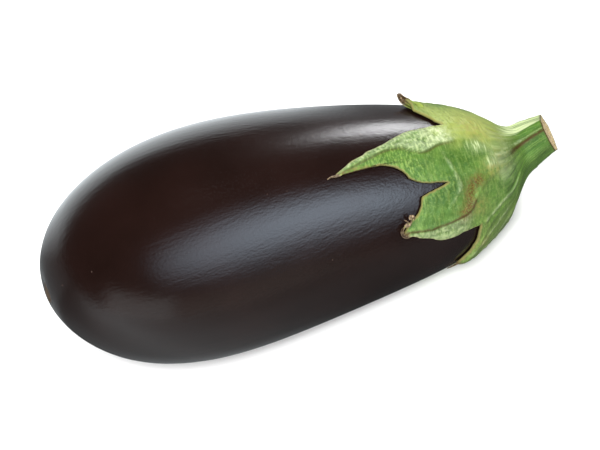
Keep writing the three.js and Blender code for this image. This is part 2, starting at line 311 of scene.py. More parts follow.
# ---- Calyx and stalk -------------------------------------------------------------------------
# The green cap and the stalk it grew from: one piece of tough, leathery, fibrous tissue, which holds
# the fruit round the stalk's foot and lies close over its shoulder in seven pointed lobes. Rims and
# tips have dried to tan and brown. The stalk is ridged, and was cut through with a knife.

# A place on it is a turn about the fruit in degrees, from the top towards +Y, and a reach in
# millimetres along the fruit's surface from its stalk end. Each lobe's rim runs from its notch up to
# its tip, and falls to the next lobe's notch. Its midrib runs from the tip to a ridge of the stalk.
LOBES = [
    {"keel": 0.3, "lift": 1.1, "notch": (77, 44), "rise": [(68, 48), (60, 50), (53.5, 51)],
     "tip": (46, 58.4),
     "fall": [(42, 58), (37.5, 57.1), (33.5, 56), (30, 54.9), (27.5, 53.8), (24.8, 52.5), (21.2, 50.6),
              (17.6, 49.2)],
     "midrib": [(48, 49), (52, 38), (58, 27), (62, 18)]},
    {"keel": 1.7, "lift": 0.9, "notch": (14.5, 47), "rise": [(11, 56), (8.5, 64), (2, 74.5), (-5.5, 89)],
     "tip": (-12.5, 98.5), "fall": [(-10.5, 86), (-12, 76.5), (-16.5, 71.3), (-23.2, 67.6)],
     "midrib": [(-9.2, 91), (-6.2, 83.4), (-3.5, 76), (-3, 70), (-5.2, 66.5), (-7.3, 61.7), (-6, 58),
                (-3.5, 54), (-2, 48), (-0.5, 43), (-1.2, 38), (0, 32), (3, 25), (6, 17)]},
    {"keel": 1.4, "lift": 0.8, "notch": (-28, 53.8),
     "rise": [(-31.5, 62.5), (-33, 66), (-40.6, 68), (-46, 72.6)],
     "tip": (-51.8, 76.5), "fall": [(-55.3, 71.5), (-59, 65.6), (-64, 58.2), (-64, 50)],
     "midrib": [(-51.3, 73), (-53, 64.4), (-52.8, 58), (-52, 52), (-50, 47), (-44, 44), (-37, 40.5),
                (-31, 36), (-27, 30), (-26, 22.5), (-32, 14)]},
    {"keel": 0.5, "lift": 0.1, "notch": (-64.5, 41.8), "rise": [(-74, 42.8), (-84, 44.6), (-91, 47.3)],
     "tip": (-97.5, 51), "fall": [(-104, 48.6), (-113, 47)],
     "midrib": [(-92, 46), (-80, 41.5), (-70, 38), (-63, 33), (-60, 26), (-62, 20), (-66, 14)]},
    {"keel": 1.2, "lift": 1, "notch": (-125, 44), "rise": [(-134, 53), (-143, 61)], "tip": (-152, 69),
     "fall": [(-161, 60), (-170, 52)], "midrib": [(-151, 52), (-154, 32), (-160, 13)]},
    {"keel": 1.2, "lift": 1, "notch": (-178, 45), "rise": [(-185, 54), (-195, 65)], "tip": (-204, 75),
     "fall": [(-211, 64), (-221, 53)], "midrib": [(-204, 55), (-200, 32), (-203, 13)]},
    {"keel": 1.0, "lift": 1, "notch": (-229, 46), "rise": [(-238, 54), (-248, 59)], "tip": (-257, 66),
     "fall": [(-266, 59), (-275, 52)], "midrib": [(-256, 50), (-250, 32), (-242, 15)]},
]
CURLED_LOBE, FOLDED_LOBE, CREASED_LOBE, SIDE_LOBE = 0, 1, 2, 3
# Each lobe's end has dried to a thin cupped strip, or to a few, with a width and a twist at its start
# and its end. Their places have a height over the fruit too. The first is still green for a part of its
# length. The third lobe has four: one that curls round its tip, one twisted over that, a knot and a stub.
DRY_STRIPS = [
    {"width": (5, 2.3), "cup": 0.5, "twist": (15, 60), "shade": 1, "fresh": 0.45,
     "places": [(34, 50.4, 0.6), (36.4, 53, 1.0), (39, 55, 1.6), (42, 56.6, 2.6), (44.4, 57.7, 3.8),
                (45.4, 58.7, 5)]},
    {"width": (1.1, 0.5), "cup": 0.3, "twist": (0, 60), "shade": 0.2, "fresh": 0,
     "places": [(-11.8, 95, 1.2), (-12.3, 97.4, 1.1), (-12.2, 99.4, 0.9), (-13, 101, 0.8)]},
    {"width": (2.3, 2.0), "cup": 0.5, "twist": (0, 130), "shade": 0.6, "fresh": 0,
     "places": [(-52, 72.6, 1.2), (-53, 74.7, 1.1), (-51.4, 76.1, 1.2), (-49, 76.2, 1.4), (-46.9, 75, 1.6)]},
    {"width": (2.1, 1.4), "cup": 0.4, "twist": (100, 380), "shade": 0.35, "fresh": 0,
     "places": [(-48, 75.9, 1.5), (-46.6, 74.4, 1.7), (-45, 72.9, 1.9), (-43.4, 71.8, 2.2)]},
    {"width": (1.4, 1.2), "cup": 0.3, "twist": (0, 200), "shade": 0.5, "fresh": 0,
     "places": [(-44.4, 72.7, 1.9), (-43.2, 71.7, 2.3), (-41.8, 71.7, 2.7), (-41.3, 72.4, 2.9),
                (-42, 73.1, 2.6), (-43.8, 72.9, 2.2)]},
    {"width": (1.0, 0.6), "cup": 0.2, "twist": (0, 90), "shade": 0.3, "fresh": 0,
     "places": [(-46, 73.6, 1.8), (-44.2, 74.4, 2.1), (-42.8, 75.6, 2.3)]},
    {"width": (1.8, 0.7), "cup": 0.35, "twist": (0, 40), "shade": 1, "fresh": 0,
     "places": [(-89, 45.6, 1.0), (-94, 46.6, 0.9), (-100, 48, 0.8), (-103, 50.6, 0.7), (-103, 54, 0.5)]},
    {"width": (1.6, 0.7), "cup": 0.4, "twist": (0, 120), "shade": 0.3, "fresh": 0,
     "places": [(-151.5, 66, 1.3), (-152, 69, 1.3), (-154, 71, 1.4), (-157, 72, 1.1)]},
    {"width": (1.5, 0.6), "cup": 0.4, "twist": (0, -140), "shade": 0.3, "fresh": 0,
     "places": [(-204, 72, 1.3), (-204, 75, 1.3), (-202.5, 77.4, 1.5), (-200.5, 78, 1.2)]},
    {"width": (1.7, 0.7), "cup": 0.4, "twist": (0, 100), "shade": 0.3, "fresh": 0,
     "places": [(-257, 63, 1.3), (-257.5, 66, 1.3), (-259, 68.5, 1.5), (-261, 69.6, 1.1)]},
]
RIBS_PER_SIDE = 29
CAP_ROWS = 96
UNDER_ROWS = 30
CORE_ROWS = 6
FILLET_ROWS = 26
STALK_ROWS = 26
CUT_RINGS = 10
STRIP_ROWS = 28
STRIP_SIDES = 12
PIECE_STEPS = 60
LINE_STEPS = 90
BROWN_LINE_STEPS = 60
# How the rows crowd towards the rim, and the ribs fan out towards it.
ROW_CROWDING = 1.5
RIB_FAN = 1.5
# Millimetres: a degree of turn at the lobes, and the height over the fruit where the rim is laid out.
TURN_LENGTH = 0.62
LAYOUT_HEIGHT = 1.5

# Heights, widths and reaches in millimetres, turns in degrees, and shares.
CAP_GAP = 0.4
CAP_THICKNESS = 1.7
LOBE_THICKNESS = 1.0
LOBE_START = 50
RIM_ROUNDING = 0.5
RIM_LIFT = 0.5
LIFT_WIDTH = 4
LIFT_UNEVENNESS = (0.6, 0.8)
LOWEST_LIFT = -0.1
RIM_SHARE = 0.3
RELIEF_START = 2.2
CAP_KEEL = 0.4
KEEL_START = 20
KEEL_FULL = 60
KEEL_RUN_OUT = 9
MIDRIB_HEIGHT = 0.3
MIDRIB_WIDTH = 1.0
CURL_START = 51
CURL_RADIUS = 9
CURL_TURN = 36
CURL_DELAY = 8
STRIP_THICKNESS = 0.4
STALK_FOOT = (191, 4.2, 3.0)
STALK_BEND = (196.5, 5.5, 5.6)
STALK_CUT = (203.6, 5.0, 9.9)
FOOT_RADIUS = 10.2
CUT_RADIUS = 7.6
RIDGE_BASE = 0.5
STALK_ROUGHNESS = 0.16
STALK_LUMP_SIZE = 2.2
FRONT_TURN = -15
FOOT_REACH = 21.5
FOOT_REACH_SHIFT = 7.5
FILLET_TOP = 0.27
FILLET_TOP_SHIFT = 0.2
FILLET_PULL = (0.33, 0.26)
FILLET_BLEND = 0.7
# Below, from the side ridges to the table, the hollow is tighter.
FILLET_PULL_BELOW = 0.08
HOLLOW_BELOW = (-88, 24)
# Each ridge of the stalk: its turn at the foot and at the cut, and its height.
STALK_RIDGES = [(55, 73, 1.0), (3, 19, 0.9), (-18, -12, 1.0), (-66, -54, 0.3), (-108, -96, 0.5),
                (-160, -146, 0.9), (118, 132, 0.9)]
PALE_RIDGE, BROWN_RIDGE = 1, 2
RIDGE_WIDTH = 11
CUT_DISH = 0.5


def unit(vectors):
    """Vectors at length 1."""
    return vectors / np.linalg.norm(vectors, axis=-1, keepdims=True)


def step(values, start, end):
    """0 before start and 1 after end, smooth between them."""
    part = np.clip((np.asarray(values, float) - start) / (end - start), 0, 1)
    return part * part * (3 - 2 * part)


def lerp(start, end, part):
    """From start to end, that part of the way."""
    return start + (end - start) * part


def bell(distance, width):
    """1 at no distance, falling to a third at the width."""
    return np.exp(-(distance / width) ** 2)


def smooth_line(points, count, scale=(TURN_LENGTH, 1)):
    """count + 1 evenly spaced places on a smooth line through those given."""
    points = np.array(points, float) * scale
    knots = np.vstack([points[:1], points, points[-1:]])
    part = np.linspace(0, 1, PIECE_STEPS)[:, None]
    pieces = []
    for before, start, end, after in zip(knots, knots[1:], knots[2:], knots[3:]):
        leave, arrive = (end - before) / 2, (after - start) / 2
        pieces.append((2 * start - 2 * end + leave + arrive) * part ** 3
                      + (3 * end - 3 * start - 2 * leave - arrive) * part ** 2 + leave * part + start)
    line = np.vstack(pieces)
    gone = np.concatenate([[0], np.cumsum(np.linalg.norm(np.diff(line, axis=0), axis=1))])
    even = np.linspace(0, gone[-1], count + 1)
    return np.stack([np.interp(even, gone, line[:, k]) for k in range(len(scale))], axis=1) / scale


# The fruit's surface, in millimetres, as a map from reach and turn.
rings_mm = rings / MM
down_rings = np.gradient(rings_mm, axis=0)
round_rings = np.gradient(np.hstack([rings_mm[:, -2:-1], rings_mm, rings_mm[:, 1:2]]), axis=1)[:, 1:-1]
ring_normals = np.cross(down_rings, round_rings)
ring_normals[0] = ring_normals[1].mean(axis=0)
ring_normals[-1] = ring_normals[-2].mean(axis=0)
ring_normals = unit(ring_normals)
ring_steps = np.linalg.norm(np.diff(rings_mm[::-1, 0], axis=0), axis=1)
ring_reach = np.concatenate([np.cumsum(ring_steps)[::-1], [0]])


def on_fruit(reach, turn):
    """The fruit's point, outward normal and way off the stalk at a reach and turn."""
    ring = np.interp(reach, ring_reach[::-1], np.arange(FRUIT_RINGS, -1, -1))
    side = (turn % 360) / 360 * FRUIT_SIDES
    i, j = np.minimum(ring.astype(int), FRUIT_RINGS - 1), np.minimum(side.astype(int), FRUIT_SIDES - 1)
    down, across = (ring - i)[..., None], (side - j)[..., None]
    found = []
    for grid_values in (rings_mm, ring_normals, -down_rings):
        this_ring = lerp(grid_values[i, j], grid_values[i, j + 1], across)
        next_ring = lerp(grid_values[i + 1, j], grid_values[i + 1, j + 1], across)
        found.append(lerp(this_ring, next_ring, down))
    return found[0], unit(found[1]), unit(found[2])


def ripple(points, seed=0.0):
    """Smooth noise at each point, about from -1 to 1."""
    shift = Vector((seed, 2 * seed, 3 * seed))
    values = [noise.noise(Vector(p) + shift) for p in points.reshape(-1, 3)]
    return np.array(values).reshape(points.shape[:-1])


def from_line(line, points):
    """How far each point is from a line of points, and which part of the line is nearest."""
    part = np.arange(0, len(line) - 1, 0.1)
    fine = np.stack([np.interp(part, np.arange(len(line)), line[:, k]) for k in range(3)], axis=1)
    tree = KDTree(len(fine))
    for k, p in enumerate(fine):
        tree.insert(p, k)
    tree.balance()
    found = [tree.find(p)[1:] for p in points.reshape(-1, 3)]
    return (np.array([f[1] for f in found]).reshape(points.shape[:-1]),
            np.array([f[0] / len(fine) for f in found]).reshape(points.shape[:-1]))


# The ribs of the cap run from the stalk's foot out to the rim, in decreasing turn, then reversed.
rim, foot_turn, rib_lobe = [], [], []
for index, lobe in enumerate(LOBES):
    later = LOBES[(index + 1) % len(LOBES)]["notch"]
    next_notch = later if index + 1 < len(LOBES) else (later[0] - 360, later[1])
    rise = smooth_line([lobe["notch"], *lobe["rise"], lobe["tip"]], RIBS_PER_SIDE)
    fall = smooth_line([lobe["tip"], *lobe["fall"], next_notch], RIBS_PER_SIDE)
    rim += [*rise, *fall[1:-1]]
    foot_turn += list(np.linspace(lobe["notch"][0], next_notch[0], 2 * RIBS_PER_SIDE + 1)[:-1])
    rib_lobe += [index] * (2 * RIBS_PER_SIDE)
rim, foot_turn, rib_lobe = np.array(rim)[::-1], np.array(foot_turn)[::-1], np.array(rib_lobe)[::-1]
# Growth waves the rim a little, and drying frets it: the height and length of each, and its seed.
RIM_WAVES = [(0.35, 3.5, 1), (0.3, 1.7, 4)]
rim_places = on_fruit(rim[:, 1], rim[:, 0])[0]
for wave_height, wave_length, seed in RIM_WAVES:
    rim = rim + wave_height * np.stack([ripple(rim_places / wave_length, seed) / TURN_LENGTH,
                                        ripple(rim_places / wave_length, seed + 1)], axis=1)
to_front = np.cos(np.radians(foot_turn - FRONT_TURN))
foot_reach = FOOT_REACH + FOOT_REACH_SHIFT * to_front
fillet_top = FILLET_TOP + FILLET_TOP_SHIFT * to_front


def cap_places(part):
    """Reach and turn on each rib, that part of the way from the stalk's foot to the rim."""
    part = np.asarray(part, float)[:, None]
    return lerp(foot_reach, rim[:, 1], part), lerp(foot_turn, rim[:, 0], part ** RIB_FAN)


def bend_off(reach, turn, height, curled=False):
    """Points at that height over the fruit, with the curled lobe's tip bent up off it."""
    start = CURL_START + CURL_DELAY * step(CURL_TURN - turn, 0, 10)
    held = np.where(curled, np.minimum(reach, start), reach)
    point, normal, away = on_fruit(held, turn)
    bend = ((reach - held) / CURL_RADIUS)[..., None]
    height = np.asarray(height)[..., None]
    return (point + away * ((CURL_RADIUS - height) * np.sin(bend))
            + normal * (CURL_RADIUS * (1 - np.cos(bend)) + height * np.cos(bend)))


cap_part = 1 - (1 - np.linspace(0, 1, CAP_ROWS + 1)) ** ROW_CROWDING
reach, turn = cap_places(cap_part)
curled = rib_lobe == CURLED_LOBE
base = bend_off(reach, turn, LAYOUT_HEIGHT, curled)
rim_line = np.vstack([base[-1], base[-1][:1]])
from_rim, _ = from_line(rim_line, base)


def line_on_cap(places, curled=False):
    """A line through places on the cap, as points over the fruit."""
    line = smooth_line(places, LINE_STEPS)
    return bend_off(line[:, 1], line[:, 0], LAYOUT_HEIGHT, curled)


keels = [line_on_cap([lobe["tip"], *lobe["midrib"]], lobe is LOBES[CURLED_LOBE]) for lobe in LOBES]
keel_distances = np.stack([from_line(line, base)[0] for line in keels])
nearest = keel_distances.argmin(axis=0)
from_keel = keel_distances.min(axis=0)
tip_distances = np.stack([np.linalg.norm(base - line[0], axis=-1) for line in keels])
from_tip = tip_distances.min(axis=0)

# The fibres: places along the grain, which follow the reach, and turn round the stalk.
GRAIN_RADIUS = 36
CROSS_WRINKLE = (0.9, 4, 4)
LONG_FIBRE = (16, 1.3, 1.3)
WIDE_LUMP, SMALL_LUMP = 9, 2.6
WRINKLE, FINE_WRINKLE = 2.0, 1.15
WRINKLE_SHARPNESS = 2.4
across_up, across_side = np.cos(np.radians(turn)), np.sin(np.radians(turn))
grain = np.stack([reach, GRAIN_RADIUS * across_up, GRAIN_RADIUS * across_side], axis=-1)
cross_wrinkles, long_fibres = ripple(grain / CROSS_WRINKLE, 3), ripple(grain / LONG_FIBRE, 5)
lumps_wide, lumps_small = ripple(base / WIDE_LUMP, 7), ripple(base / SMALL_LUMP, 9)
wrinkle, fine_wrinkle = (1 - np.abs(ripple(base / across, seed)) * WRINKLE_SHARPNESS
                         for across, seed in ((WRINKLE, 11), (FINE_WRINKLE, 13)))

# The second lobe's upper side is folded up along its midrib, pale and wrinkled. The third lobe's lower
# side is folded down along its midrib in the same way. The cap's upper side has turned yellow. In these
# masks and the next, a step's numbers are where it starts and where it is full, in millimetres or
# degrees, and a bell's number is its width.
FOLD_RADIUS = 42
FOLD_TOP = 15.5
TOP_TURN = LOBES[CURLED_LOBE]["notch"][0]
fold_line = smooth_line([LOBES[FOLDED_LOBE]["tip"], *LOBES[FOLDED_LOBE]["midrib"]], LINE_STEPS)
fold_turn = np.interp(reach, fold_line[::-1, 1], fold_line[::-1, 0])
above_fold = (turn - fold_turn) * np.radians(1) * FOLD_RADIUS
on_folded = (nearest == FOLDED_LOBE) | (rib_lobe == FOLDED_LOBE)
fold_area = step(reach, 43, 53) * step(FOLD_TOP - turn, -3, 3) * on_folded
folded = step(above_fold, -0.4, 0.7) * fold_area
# The fold's crease is a hollow that also gets a painted shade line.
fold_crease = bell(above_fold + 0.5, 0.5) * fold_area
top_side = (step(above_fold + 6 * lumps_small + 5 * lumps_wide, -10, 8) * step(62 - reach, 0, 14)
            * step(turn + 10 * lumps_small, -20, 8) * step(TOP_TURN - turn, 0, 16))

# Lines of turn and reach on the cap: the crease where it bends over the fruit's shoulder, the ridges
# that run from the stalk down to the fourth lobe, the brown line of the third lobe's midrib, and a worn
# brown band from there to the stalk.
SHOULDER = [(2, 55.5), (-8, 53.2), (-14.5, 52), (-22.5, 50.6), (-31.5, 49.3), (-36, 50.9), (-39.8, 53.1),
            (-44, 57)]
SIDE_RIDGES = [[(-40, 14), (-46, 21), (-53, 28), (-58, 34), (-63, 39)],
               [(-56, 13), (-62, 22), (-69, 29), (-76, 35), (-84, 40.5), (-91, 46)],
               [(-70, 12), (-78, 23), (-88, 32), (-99, 43)],
               [(-86, 12), (-94, 24), (-104, 36)]]
BROWN_MIDRIB = [(-51.8, 76.8), (-51.3, 73), (-53, 64.4), (-52.8, 58), (-52, 52), (-50, 47), (-44, 44)]
BROWN_BAND = [(-51, 50), (-46, 47), (-40, 46.2), (-34, 44.5), (-31, 41)]
from_shoulder, along_shoulder = from_line(line_on_cap(SHOULDER), base)
from_ridges = np.min([from_line(line_on_cap(ridge), base)[0] for ridge in SIDE_RIDGES], axis=0)
from_brown_midrib, _ = from_line(line_on_cap(BROWN_MIDRIB), base)
from_band, _ = from_line(line_on_cap(BROWN_BAND), base)
brown_line = smooth_line(BROWN_MIDRIB, BROWN_LINE_STEPS)
brown_turn = np.interp(reach, brown_line[::-1, 1], brown_line[::-1, 0])
below_midrib = (brown_turn - turn) * np.radians(1) * FOLD_RADIUS * (rib_lobe == CREASED_LOBE)
lower_third = step(below_midrib, 0.2, 1.2) * step(reach, 44, 52)
# The shoulder crease's pale streak is a painted highlight.
shoulder = (bell(from_shoulder, 0.7) * np.sin(np.pi * np.clip(along_shoulder, 0, 1))
            * step(lumps_small, -0.5, 0.3))
side_ridge = (bell(from_ridges, 0.6) * step(reach, 12, 20) * step(50 - reach, 0, 8)
              * step(lumps_small, -0.6, 0.2))

# Its patches: each has a turn and a reach, then its size in millimetres round and along the cap.
PATCHES = {
    # Low swellings on the cap, whose pale streaks are a painted highlight.
    "swelling_and_painted_highlight": [(3, 50.7, 3, 2.2), (-6.5, 37.2, 2.8, 4.6), (-19.8, 33.4, 2.4, 2.8)],
    "tan": [(12, 35, 9, 7), (-24, 33, 5, 5), (-14, 27, 4, 4), (-84, 40, 3, 3), (-50, 42, 4, 4)],
    # Painted light that lifts the shade in the hollow at the stalk's foot.
    "painted light foot": [(-14, 27, 7, 5), (4, 23, 7, 5), (-30, 26, 5, 4)],
    "green": [(46, 43, 7, 6), (50, 33, 6, 6)],
    "deep": [(-14, 47, 5, 6), (-31, 50, 6, 7), (-37, 57, 5, 7)],
    # The fold's middle, where its highlight falls: pale tissue with a painted highlight.
    "pale fold and painted highlight": [(4, 50.5, 5, 6)],
}
patches = {}
for name, places in PATCHES.items():
    spots = [np.exp(-((turn - at_turn) * np.radians(1) * GRAIN_RADIUS / across) ** 2
                    - ((reach - at_reach) / along) ** 2) for at_turn, at_reach, across, along in places]
    patches[name] = np.max(spots, axis=0)
swelling_and_painted_highlight = patches["swelling_and_painted_highlight"] * (1 - folded)
crinkled = np.max([
    folded, 0.7 * lower_third, 0.8 * step(reach, 58, 68) * on_folded, 0.5 * bell(from_rim, 3.5),
    0.5 * curled * step(reach, 38, 46),
], axis=0)

# The cap's height over the fruit: its own curve, and on that the forms, each with its height in
# millimetres. Negative ones are hollows.
lobe_lift = np.array([lobe["lift"] for lobe in LOBES])[rib_lobe]
uneven_lift = LIFT_UNEVENNESS[0] + LIFT_UNEVENNESS[1] * lumps_wide
lift = lobe_lift * RIM_LIFT * step(LIFT_WIDTH - from_rim, 0, LIFT_WIDTH) * uneven_lift
inner_height = CAP_GAP + np.maximum(lift, LOWEST_LIFT)
thickness = lerp(CAP_THICKNESS, LOBE_THICKNESS, step(reach, FOOT_REACH, LOBE_START))
rounding = np.sqrt(1 - (1 - np.clip(from_rim / RIM_ROUNDING, 0, 1)) ** 2)
keel_height = np.array([lobe["keel"] for lobe in LOBES])[nearest]
tent = from_rim / (from_rim + from_keel + 1e-6)
foot_keel = CAP_KEEL * step(reach, FOOT_REACH, KEEL_START)
grown_keel = foot_keel + (1 - CAP_KEEL) * step(reach, KEEL_START, KEEL_FULL)
midribs = bell(from_keel, MIDRIB_WIDTH) * step(from_tip, 0, 6) * step(reach, 14, 34) * (1 - top_side)
creased = np.clip(folded + 0.5 * lower_third, 0, 1)
uncreased = 1 - creased
forms = (
    (1, keel_height * grown_keel * step(from_tip, 0, KEEL_RUN_OUT) * tent),
    (MIDRIB_HEIGHT, midribs),
    (0.3, creased),
    (0.34, creased * wrinkle),
    (0.2, creased * fine_wrinkle),
    (0.14, uncreased * lumps_small),
    (0.05, uncreased * fine_wrinkle),
    (0.1, uncreased * crinkled * wrinkle),
    (-0.35, fold_crease),
    (-0.9, step(-turn, 36, 84) * step(turn, -150, -110) * step(46 - reach, 0, 20)),
    (0.9, bell(turn + 97, 14) * bell(reach - 46, 7) * (rib_lobe == SIDE_LOBE)),
    (0.28, shoulder),
    (0.22, side_ridge),
    (0.4, swelling_and_painted_highlight),
    (0.13, cross_wrinkles * step(reach, 18, 30)),
    (0.07, long_fibres),
    (0.25, lumps_wide),
)
relief = sum(height * form for height, form in forms)
outer_height = (inner_height + thickness * lerp(RIM_SHARE, 1, rounding)
                + relief * step(from_rim, 0, RELIEF_START))

outer = bend_off(reach, turn, outer_height, curled)
under_part = 1 - (1 - np.linspace(0, 1, UNDER_ROWS + 1)) ** ROW_CROWDING
under_reach, under_turn = cap_places(under_part)
under_height = np.stack([np.interp(under_part, cap_part, heights) for heights in inner_height.T], axis=1)
under = bend_off(under_reach, under_turn, under_height, curled)

# The stalk's rings are square to its bent axis, worked out in the fruit's upright frame.
lie_cos, lie_sin = math.cos(LIE_ANGLE), math.sin(LIE_ANGLE)
lie = np.array([[lie_cos, 0, lie_sin], [0, 1, 0], [-lie_sin, 0, lie_cos]])
stalk_end = rings_mm[-1, 0] - lie @ (fruit_sizes["Length"] / MM, 0, 0)
foot, bend_point, cut = (lie @ p + stalk_end for p in (STALK_FOOT, STALK_BEND, STALK_CUT))


def stalk_axis(part):
    """The stalk axis's points and directions at those parts of the way up it."""
    part = np.asarray(part, float)[..., None]
    point = foot * (1 - part) ** 2 + bend_point * 2 * part * (1 - part) + cut * part ** 2
    return point, unit((bend_point - foot) * (1 - part) + (cut - bend_point) * part)


def off_ridge(ridge, part):
    """How many degrees each rib is from a ridge, that part of the way up the stalk."""
    return (foot_turn - lerp(ridge[0], ridge[1], part) + 180) % 360 - 180


def stalk_ring(part, scale=1.0, sunk=0.0):
    """One ring of the stalk, with a part of the way up it for each rib."""
    part = np.broadcast_to(part, foot_turn.shape)
    centre, axis = stalk_axis(part)
    upright = lie @ (0, 0, 1)
    up = unit(upright - axis * (axis @ upright)[:, None])
    across = np.cross(up, axis)
    ridges = [ridge[2] * bell(off_ridge(ridge, part), RIDGE_WIDTH) for ridge in STALK_RIDGES]
    radius = lerp(FOOT_RADIUS, CUT_RADIUS, part) + np.max(ridges, axis=0) - RIDGE_BASE
    angle = np.radians(foot_turn)[:, None]
    out = up * np.cos(angle) + across * np.sin(angle)
    ring = centre + out * (radius * scale)[:, None] - axis * sunk
    return ring + out * (STALK_ROUGHNESS * scale * ripple(ring / STALK_LUMP_SIZE, 17))[:, None]


# Between them the skin follows a smooth hollow curve, from the slope of the cap to the stalk's.
first_ring = stalk_ring(fillet_top)
pull = np.linalg.norm(outer[0] - first_ring, axis=1, keepdims=True)
stalk_pull = FILLET_PULL[1] + FILLET_PULL_BELOW * bell(foot_turn - HOLLOW_BELOW[0], HOLLOW_BELOW[1])[:, None]
hollow = (outer[0], outer[0] + unit(outer[0] - outer[2]) * pull * FILLET_PULL[0],
          first_ring - stalk_axis(fillet_top)[1] * pull * stalk_pull, first_ring)
up_fillet = np.linspace(0, 1, FILLET_ROWS + 1)[1:-1]
fillet = []
for t in up_fillet:
    shares = (1 - t) ** 3, 3 * t * (1 - t) ** 2, 3 * t * t * (1 - t), t ** 3
    fillet.append(sum(share * point for share, point in zip(shares, hollow)))
stalk_parts = lerp(fillet_top, 1, np.linspace(0, 1, STALK_ROWS + 1)[:, None])
stalk = [stalk_ring(part) for part in stalk_parts]
cut_face = [stalk_ring(1, 1 - t, CUT_DISH * min(1, 3 * t))
            for t in np.linspace(0, 1, CUT_RINGS + 1)[1:-1]]
core_part = np.linspace(0, 1, CORE_ROWS + 1)[1:-1, None]
core_point, core_normal, _ = on_fruit(foot_reach * core_part, foot_turn + 0 * core_part)
core = core_point + core_normal * CAP_GAP
pole_point, pole_normal, _ = on_fruit(np.array([0.0]), np.array([0.0]))

# Its skin, ring by ring: from the hidden middle under the cap, over the rim, to the middle of the cut.
parts = {"core": core, "under": under, "cap": outer[::-1], "fillet": fillet, "stalk": stalk, "cut": cut_face}
all_rings = np.array([ring for part_rings in parts.values() for ring in part_rings])
first_pole = pole_point[0] + pole_normal[0] * CAP_GAP
last_pole = stalk_axis(1)[0] - stalk_axis(1)[1] * CUT_DISH
count = len(rim)
points = [first_pole, *all_rings.reshape(-1, 3), last_pole]
last = len(points) - 1
ring_start = 1 + np.arange(len(all_rings)) * count
faces = []
for j in range(count):
    beside = (j + 1) % count
    faces.append((0, 1 + j, 1 + beside))
    faces += [(a + j, a + count + j, a + count + beside, a + beside) for a in ring_start[:-1]]
    faces.append((last, ring_start[-1] + beside, ring_start[-1] + j))

# The dry strips: flat rings that are cupped and twisted along a line, and closed at both ends. The
# slits are painted shade: dark bands in the hollows on each side of their middle.
STRIP_FRAY = 0.3
STRIP_FRAY_SIZE = 2.5
section_angle = np.linspace(0, math.tau, STRIP_SIDES, endpoint=False)
section_across, section_off = np.cos(section_angle), np.sin(section_angle)
painted_slit_shade, strip_shade, dried = [], [], []
for strip in DRY_STRIPS:
    line = smooth_line(strip["places"], STRIP_ROWS, (TURN_LENGTH, 1, 1))
    centres = bend_off(line[:, 1], line[:, 0], line[:, 2])
    normals = on_fruit(line[:, 1], line[:, 0])[1]
    ways = unit(np.gradient(centres, axis=0))
    first = len(points)
    for row, (centre, normal, way) in enumerate(zip(centres, normals, ways)):
        part = row / STRIP_ROWS
        twist = math.radians(lerp(*strip["twist"], part))
        side = unit(np.cross(way, normal))
        off = np.cross(side, way)
        twist_cos, twist_sin = math.cos(twist), math.sin(twist)
        side, off = side * twist_cos + off * twist_sin, off * twist_cos - side * twist_sin
        fray = 1 + STRIP_FRAY * noise.noise(Vector(centre) / STRIP_FRAY_SIZE)
        round_end = math.sqrt(max(0.05, 1 - (2 * part - 1) ** 12))
        half = lerp(*strip["width"], part) / 2 * fray * round_end
        cupped = strip["cup"] * half * section_across ** 2 + STRIP_THICKNESS / 2 * section_off
        points += [*(centre + side * (half * section_across)[:, None] + off * cupped[:, None])]
        painted_slit_shade += [*(bell(abs(section_across) - 0.5, 0.25) * (section_off > 0)
                   * step(part, 0.1, 0.4) * step(1 - part, 0, 0.12))]
        dried += [float(step(part - strip["fresh"], 0, 0.3))] * STRIP_SIDES
        strip_shade += [strip["shade"] * dried[-1]] * STRIP_SIDES
    for row in range(STRIP_ROWS):
        a = first + row * STRIP_SIDES
        b = a + STRIP_SIDES
        faces += [(a + k, a + (k + 1) % STRIP_SIDES, b + (k + 1) % STRIP_SIDES, b + k)
                  for k in range(STRIP_SIDES)]
    end = first + STRIP_ROWS * STRIP_SIDES
    faces += [tuple(range(first + STRIP_SIDES - 1, first - 1, -1)), tuple(range(end, end + STRIP_SIDES))]

calyx_mesh = bpy.data.meshes.new("eggplant_calyx_and_stalk")
calyx_mesh.from_pydata((np.array(points) * MM).tolist(), [], [[int(v) for v in face] for face in faces])
calyx_mesh.shade_smooth()
calyx = bpy.data.objects.new("eggplant_calyx_and_stalk", calyx_mesh)
bpy.context.scene.collection.objects.link(calyx)


def keep(name, strips=0.0, stem=None, **values):
    """Stores an attribute: for each part of the skin one value, a ring of them or all of them, or else 0.

    The cap's rows come from the foot out. The stem is the fillet and the stalk, and the fillet takes
    over from the cap little by little."""
    if stem is not None:
        rows = np.broadcast_to(stem, (len(fillet) + len(stalk), count))
        values.update(fillet=rows[:len(fillet)], stalk=rows[len(fillet):])
    grids = {part: np.broadcast_to(values.get(part, 0.0), (len(part_rings), count))
             for part, part_rings in parts.items()}
    grids["cap"] = grids["cap"][::-1]
    grids["fillet"] = lerp(grids["cap"][-1], grids["fillet"], step(up_fillet, 0, FILLET_BLEND)[:, None])
    rows = [grid.ravel() for grid in grids.values()]
    on_strips = np.broadcast_to(strips, (len(painted_slit_shade),))
    stored = np.concatenate([rows[0][:1], *rows, rows[-1][-1:], on_strips]).astype(np.float32)
    calyx_mesh.attributes.new(name, "FLOAT", "POINT").data.foreach_set("value", stored)


